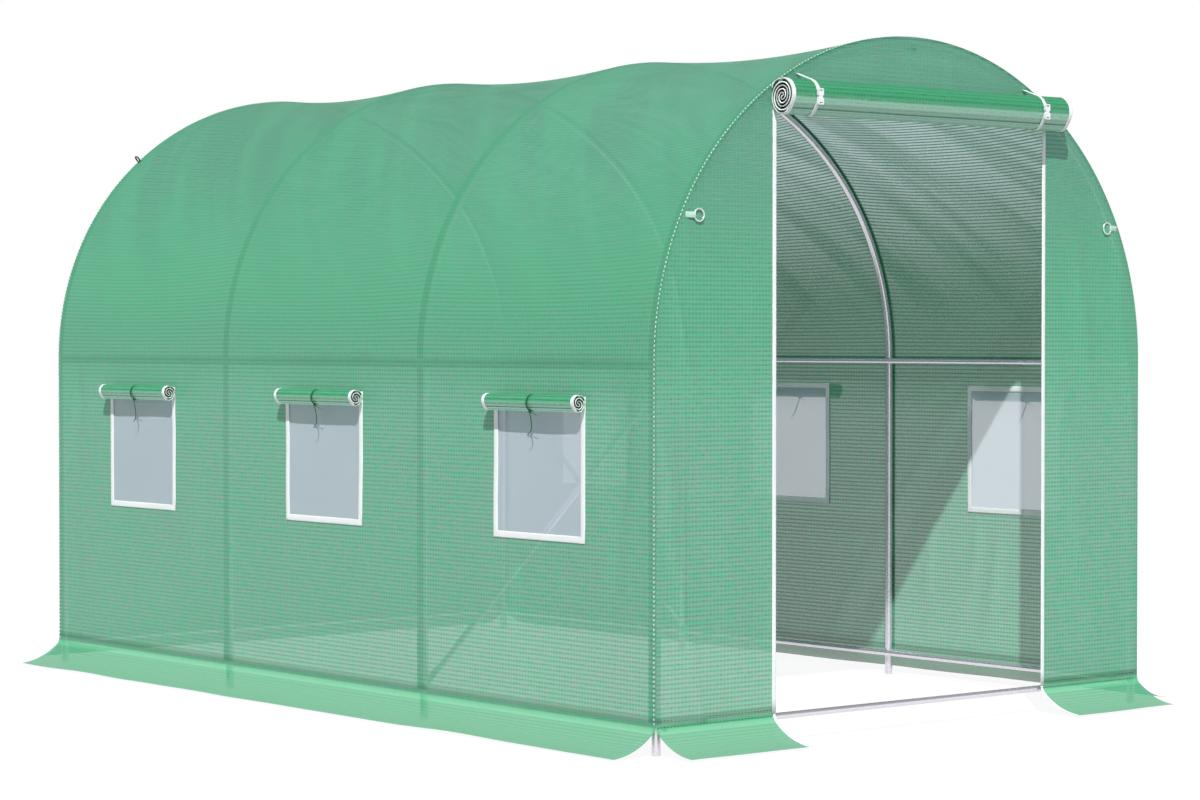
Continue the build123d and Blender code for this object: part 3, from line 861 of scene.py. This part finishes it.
# %% [markdown]
# The rolled sheet runs out along the scroll and comes back beside itself, which is the fold, and a short tail
# goes up to its seam. White tape binds the rim at both ends, which draws the spiral, and a wider band closes
# the outside.

# %% Rolled sheets
rim_width, band_width, band_thickness = 0.0024, 0.013, 0.0010


def rolled(start, end, line, tail, gap, place):
    """A doubled roll with its tail, and its bound ends. place turns (out, up, along) into a point."""
    whole = np.concatenate([line, line[-1] + np.array(tail)])
    fold = both_sides(whole, gap)
    along = np.linspace(start, end, max(8, int((end - start) / 0.03)))
    grid = np.array([[place(u, v, s) for s in along] for u, v in fold])
    cloth = np.stack(np.meshgrid(along, metres_along(fold)), -1)
    ring = even(band_round(both_sides(line, gap)), 0.005)
    origin = np.array(place(0, 0, 0))
    across = unit(place(0, 0, 1) - origin)
    across = across * np.sign(np.linalg.det([place(1, 0, 0) - origin, place(0, 1, 0) - origin, across]))
    edges = []
    for stop, inward in ((start, 1), (end, -1)):
        rim = np.array([place(u, v, stop) for u, v in beside(whole, -gap / 2)])
        edges.append(tape_mesh(rim, -across, rim_width, gap))
        outer = np.array([place(u, v, stop + inward * band_width / 2) for u, v in ring])
        edges.append(tape_mesh(outer, across, band_width, band_thickness, closed=True))
    return grid_part(grid, cloth), edges


roll_low, roll_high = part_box("door_curtain")
roll_depth, roll_height = centre("door_curtain", 1), centre("door_curtain", 2)
roll_start, roll_end = roll_low.x + 0.008, roll_high.x - 0.024
roll_arcs, roll_gap = 5, 0.0030
roll_pitch = ((roll_high.z - roll_low.z) / 2 - roll_gap / 2) / roll_arcs
roll_squeeze = ((roll_high.y - roll_low.y) / 2 - roll_gap / 2) / ((roll_arcs - 0.5) * roll_pitch)
roll_line = scroll(roll_arcs, roll_pitch, roll_gap, roll_squeeze)
roll_tail = [(-0.012, -0.0005), (-0.024, -0.003), (-0.034, -0.008), (-0.0405, -0.016), (-0.0422, -0.026)]


def door_place(out, up, x):
    """A point of the door's roll, which swells and shrinks a little along its length."""
    swell = 1 - 0.015 * (1 + ripple(x, 3.3, 0.7, size=0.12))
    return [x, roll_depth - out * swell, roll_height + up * swell]


sheet, edges = rolled(roll_start, roll_end, roll_line, roll_tail, roll_gap, door_place)
door_shape = (1, roll_height, -roll_depth, roll_squeeze, (roll_arcs - 1.25) * roll_pitch)
door_finish = sheet_finish("door_roll_sheet", 0.0, 0.02, deep_tones, roll=door_shape)
door_roll = joined_piece("door_roll", [sheet], door_finish, "cover_sheet", "door_curtain")
roll_ends = joined_piece("door_roll_edges", edges, binding_finish, "white_binding")

# %% [markdown]
# A strap is pulled tight round the roll, so it follows the outline that an elastic band would take. It leaves
# a stitched anchor above the roll, passes over the front and under it, and ends inside the door head.

# %% Straps round the roll
strap_low, strap_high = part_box("curtain_straps")
strap_width = 0.014
anchor = (half_length + roll_depth + 0.0006, strap_high.z - 0.010 - roll_height)
tight = band_round(np.concatenate([both_sides(roll_line, roll_gap) * 1.002, [anchor]]))
tight = np.roll(np.roll(tight, -int(np.argmax(tight[:, 1])), 0)[::-1], 1, 0)
lowest = int(np.argmin(tight[:, 1]))
inside, head = half_length + roll_depth - 0.0024, door_height - roll_height
end_up = strap_low.z - roll_height + 0.042
strap_end = [(inside + 0.0040, head - 0.010), (inside, head - 0.002), (inside, end_up)]
strap_line = even(np.concatenate([tight[: lowest + 2], strap_end]), 0.004)
strap_parts = []
for x in (strap_low.x + strap_width / 2, strap_high.x - strap_width / 2):
    out, up = strap_line.T
    path = points_of(x, roll_depth - out, roll_height + up)
    strap_parts.append(tape_mesh(path, (1, 0, 0), strap_width, 0.0018))
joined_piece("roll_straps", strap_parts, webbing_finish, "white_webbing", "curtain_straps")
print("strap length", round(metres_along(strap_line)[-1], 3), "m")

# %% [markdown]
# The window blinds are small rolls of the same cover sheet, sewn above each window. They are the door's roll
# at a smaller size, with three half circles to an arm, and lie along the wall.

# %% Window blinds
blind_arcs, blind_length, blind_radius, blind_gap = 3, 0.424, 0.0248, 0.0018
blind_pitch = (blind_radius - blind_gap / 2) / blind_arcs
blind_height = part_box("left_rolled_blinds")[1].z - 0.003 - blind_radius
blind_out = half_width + 0.0034 + blind_radius
blind_line = scroll(blind_arcs, blind_pitch, blind_gap)
blind_tail = [(-0.008, -0.0006), (-0.016, -0.0034), (-0.0215, -0.009), (-0.0234, -0.016)]
blind_places = [place - 0.008 for place in window_places]
blind_shape = (0, blind_height, blind_out, 1.0, (blind_arcs - 1.25) * blind_pitch)
blind_finish = sheet_finish("blind_sheet", 0.0, 0.02, deep_tones, roll=blind_shape)


def blind_place_at(side, y):
    """How a blind's roll lies on its wall, with a soft swell along it."""

    def place(out, up, along):
        swell = 1 - 0.02 * (1 + ripple(along + side, y, 4.4, size=0.07))
        return [side * (blind_out + out * swell), y + along, blind_height + up * swell]

    return place


for side, name in sides:
    sheets, edges = [], []
    for y in blind_places:
        half, place = blind_length / 2, blind_place_at(side, y)
        sheet, ends = rolled(-half, half, blind_line, blind_tail, blind_gap, place)
        sheets.append(sheet)
        edges += ends
    packed = name + "_rolled_blinds"
    rolls = joined_piece(name + "_blinds", sheets, blind_finish, "cover_sheet", packed)
    joined_piece(name + "_blind_edges", edges, binding_finish, "white_binding")

# %% [markdown]
# One thin tape ties each blind up. It goes round the roll in a tight band and ends in a small knot below. Its
# tails hang down over the netting, each a little differently.

# %% Blind ties
def tie_parts(side):
    """The bands, knots and hanging tails of one wall."""
    parts = []
    turn, share = np.linspace(0, 2 * math.pi, 41)[:-1], np.linspace(0, 1, 17)
    wave, swing, band_radius = np.cos(turn), np.sin(turn), blind_radius + 0.0004
    low = blind_height - blind_radius
    for index, y in enumerate(blind_places):
        middle = y - 0.004
        band = points_of(side * (blind_out + wave * band_radius), middle, blind_height + swing * band_radius)
        parts.append(tape_mesh(band, (0, side, 0), 0.008, 0.0014, closed=True))
        knot_out, knot_up = blind_out + 0.010 + 0.0035 * wave, low + 0.001 - 0.0035 * wave
        knot = points_of(side * knot_out, middle + 0.005 * swing, knot_up)
        parts.append(tape_mesh(knot, (side * 0.7, 0, 0.7), 0.006, 0.0016, closed=True))
        for length, drift, lean in ((0.010, -0.032, 0.004), (0.066 + 0.005 * index, 0.014, 0.017)):
            tail_out = blind_out + 0.012 - lean * np.sin(share * math.pi / 2)
            curl = 0.014 * np.clip(share - 0.70, 0, 1) ** 2 * length * 160
            tail_y = middle + drift * share**1.3 + curl
            tail = points_of(side * tail_out, tail_y, low - 0.001 - length * share)
            parts.append(tape_mesh(tail, (0, side, 0), 0.0045, 0.0012))
    return parts


for side, name in sides:
    joined_piece(name + "_tie_tapes", tie_parts(side), tie_finish, "green_tape", name + "_blind_ties")

# %% [markdown]
# The guy rings hang on short folded tabs at the arch seam. A tab leaves the seam, turns round the wire of the
# ring and comes back on itself, so its line is a hairpin.

# %% Ring tabs
def tab_part(side, end):
    """One folded tab round the wire of a ring."""
    wire_x, wire_y, ring_height = 0.8635, half_length + 0.0051, 1.490
    turn = np.radians(np.linspace(90, 270, 15))
    bend = np.stack([wire_x - 0.0019 + 0.0034 * np.cos(turn), wire_y + 0.0034 * np.sin(turn)], 1)
    seam_x, bend_x = 0.893, 0.876
    outer = [(seam_x, half_length + 0.0026), (bend_x, half_length + 0.0058)]
    inner = [(bend_x, half_length + 0.0012), (seam_x, half_length + 0.0010)]
    line = even(np.concatenate([outer, bend, inner]), 0.002)
    path = points_of(side * line[:, 0], end * line[:, 1], ring_height)
    return tape_mesh(path, (0, 0, -side * end), 0.017, 0.0010)


tab_finish = tape_finish("tab_webbing", tone(206, 236, 221), tone(160, 208, 184), 0.0018, 0.66)
for end, name in ((-1, "front"), (1, "rear")):
    tabs = [tab_part(side, end) for side in (-1, 1)]
    joined_piece(name + "_tab_tapes", tabs, tab_finish, "white_webbing", name + "_ring_tabs")

# %% [markdown]
# High on the rear arch two small loops of dark webbing stand up from the seam, one on each side.

# %% Rear loops
def loop_part(side):
    """A loop that stands up from the rear seam."""
    angle = 90 - side * 40.5
    lean = math.radians(angle)
    foot = np.array(arch(angle, 0, seam_gap)).ravel()
    turn = np.linspace(-0.5 * math.pi, 1.5 * math.pi, 25)
    rise = np.outer(0.0115 + 0.0120 * np.sin(turn), [math.cos(lean), math.sin(lean)])
    line = foot + rise + np.outer(0.0042 * np.cos(turn), [-math.sin(lean), math.cos(lean)])
    path = points_of(line[:, 0], half_length - 0.010, line[:, 1])
    return tape_mesh(path, (0, 1, 0), 0.011, 0.0012)


black_finish = tape_finish("dark_webbing", tone(34, 44, 40), tone(22, 28, 26), 0.0018, 0.7)
joined_piece("rear_loops", [loop_part(side) for side in (-1, 1)], black_finish, "green_tape")

# %% [markdown]
# Moulded buckles are smooth white plastic with a faint orange-peel skin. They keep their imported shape.

# %% Plastic buckles
plastic_finish, start = new_finish("white_plastic")
peel = mottle(tunnel_place(start), 900.0)
colour = peel.blend(tone(250, 250, 250), tone(236, 239, 240))
close_finish(surface(colour, 0.34, {"Normal": bump(peel, 0.1, 0.0002)}))
wear(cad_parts["strap_buckles"], plastic_finish)

# %% [markdown]
# The end sheets are sewn to the cover along the front and rear arch. A stitch is a tiny bar of thread with
# sunk, narrow ends, and a seam is many of them in one mesh.

# %% Stitched seams
stitch_stops = np.array([0, 0.16, 0.5, 0.84, 1])
stitch_shares, stitch_lifts = (0.25, 0.9, 1, 0.9, 0.25), (-0.4, 0.25, 0.5, 0.25, -0.4)
stitch_corners = 6


def stitches(path, facing, length, gap, radius):
    """Points, faces and cloth of a row of stitches on a line of a sheet, and the way the sheet faces."""
    path, facing = np.asarray(path, float), np.broadcast_to(np.asarray(facing, float), np.shape(path))
    along = metres_along(path)
    points, faces, cloth = [], [], []
    for number in range(int(along[-1] / (length + gap))):
        stops = number * (length + gap) + length * stitch_stops
        line, up = points_at(stops, along, path), unit(points_at(stops, along, facing))
        across = unit(np.cross(directions(line), up))
        faces += tube_faces(len(stops), stitch_corners, len(points))
        for step, (share, lift) in enumerate(zip(stitch_shares, stitch_lifts)):
            for corner in range(stitch_corners):
                turn = corner * 2 * math.pi / stitch_corners
                ring = share * (across[step] * math.cos(turn) + up[step] * math.sin(turn))
                points.append(line[step] + radius * (ring + up[step] * lift))
                cloth.append((stops[step], corner * radius))
    return np.array(points), faces, np.array(cloth)


def seam_line(y, out):
    """The cover's section from foot to foot at a place, and the way it faces."""
    x, z = arch(np.linspace(180, 0, 181), 0, -out)
    turn = np.radians(np.linspace(180, 0, 181))
    legs = np.linspace(foot_height, eaves_height, 60)[:-1]
    left = np.stack([0 * legs - half_width - out, legs], 1)
    line = np.concatenate([left, np.stack([x, z], 1), left[::-1] * [-1, 1]])
    way = np.concatenate([0 * left + [-1, 0], np.stack([np.cos(turn), np.sin(turn)], 1), 0 * left + [1, 0]])
    return np.insert(line, 1, y, 1), np.insert(way, 1, 0, 1)


seam_parts = []
for end in (-1, 1):
    line, way = seam_line(end * (half_length - 0.006), 0.0004)
    seam_parts.append(stitches(line, way, length=0.008, gap=0.005, radius=0.0013))
joined_piece("arch_seams", seam_parts, thread_finish, "white_binding")

# %% [markdown]
# Two rows of dark thread hold the fold where each end sheet turns into its flaps.

# %% Stitches of the flap crease
crease_parts = []
corner_x = half_width - 0.006
for end, first, last in ((-1, -corner_x, -door_half), (-1, door_half, corner_x), (1, -corner_x, corner_x)):
    for rise, out in ((0.012, -0.0003), (-0.006, 0.0012)):
        x = np.linspace(first, last, 60)
        path = points_of(x, end * (half_length + out), foot_height + rise)
        crease_parts.append(stitches(path, (0, end, 0), length=0.006, gap=0.006, radius=0.0012))
joined_piece("crease_stitches", crease_parts, dark_finish, "cover_sheet")

# %% [markdown]
# Studio: a plain pale floor, a white room and one sun from behind the camera. The room lights at about a
# third of its strength and shows as full white, so the picture has a clean white ground and the sheet keeps
# its colour. Reflections meet a darker ceiling, which gives the tubes a dark upper edge.

# %% Floor, room and sun
def ray(start, kind):
    """1 for rays of a kind, such as the camera's own, and 0 for all others."""
    return start.node("LightPath", None, "Is " + kind + " Ray")


bpy.ops.mesh.primitive_plane_add(size=60, location=(0, 0, -0.002))
floor = bpy.context.active_object
floor.name = "studio_floor"
floor_finish, start = new_finish("studio_floor")
seen = ray(start, "Camera") + ray(start, "Glossy")
paper = start.node("BsdfDiffuse", {"Color": (0.52, 0.52, 0.52, 1)})
glow = start.node("Emission", {"Color": (1, 1, 1, 1), "Strength": 1.15})
close_finish(mix_shaders(seen * 0.8, paper, glow))
floor.data.materials.append(floor_finish)

world = bpy.data.worlds.new("studio")
bpy.context.scene.world = world
world.use_nodes = True
world.node_tree.nodes.clear()
room = Wire(world.node_tree)
room_light, ceiling_loss = 0.35, 0.75
mirrored = ray(room, "Glossy")
share = (ray(room, "Camera") + mirrored + ray(room, "Transmission")).maths("MINIMUM", 1.0)
shade = share.blend((0.93, 0.98, 1.07, 1), (1, 1, 1, 1))
ceiling = soft_step(axis_value(room.node("TexCoord"), 2), 0.10, 0.45) * mirrored
strength = share * (1 - room_light - ceiling * ceiling_loss) + room_light
light = room.node("Background", {"Color": shade, "Strength": strength})
room.node("OutputWorld", {"Surface": light})

sun_data = bpy.data.lights.new("studio_sun", "SUN")
sun_data.energy, sun_data.angle = 3.4, math.radians(0.8)
sun = bpy.data.objects.new("studio_sun", sun_data)
sun.rotation_euler = Vector((0.471, 0.527, -0.707)).to_track_quat("-Z", "Y").to_euler()
bpy.context.scene.collection.objects.link(sun)
bpy.context.scene.view_settings.view_transform = "Standard"

# %% [markdown]
# The camera stands where the photographer stood: far off with a long lens, a little above waist height,
# looking at the corner between the door end and the left wall.

# %% Camera
camera_data = bpy.data.cameras.new("studio_camera")
camera_data.lens, camera_data.sensor_width = 92.93, 36
camera = bpy.data.objects.new("studio_camera", camera_data)
camera.location = (-6.517, -8.074, 1.151)
tip = math.radians(1.158)
look = Vector((0.6366 * math.cos(tip), 0.7712 * math.cos(tip), -math.sin(tip)))
camera.rotation_euler = look.to_track_quat("-Z", "Y").to_euler()
bpy.context.scene.collection.objects.link(camera)
bpy.context.scene.camera = camera
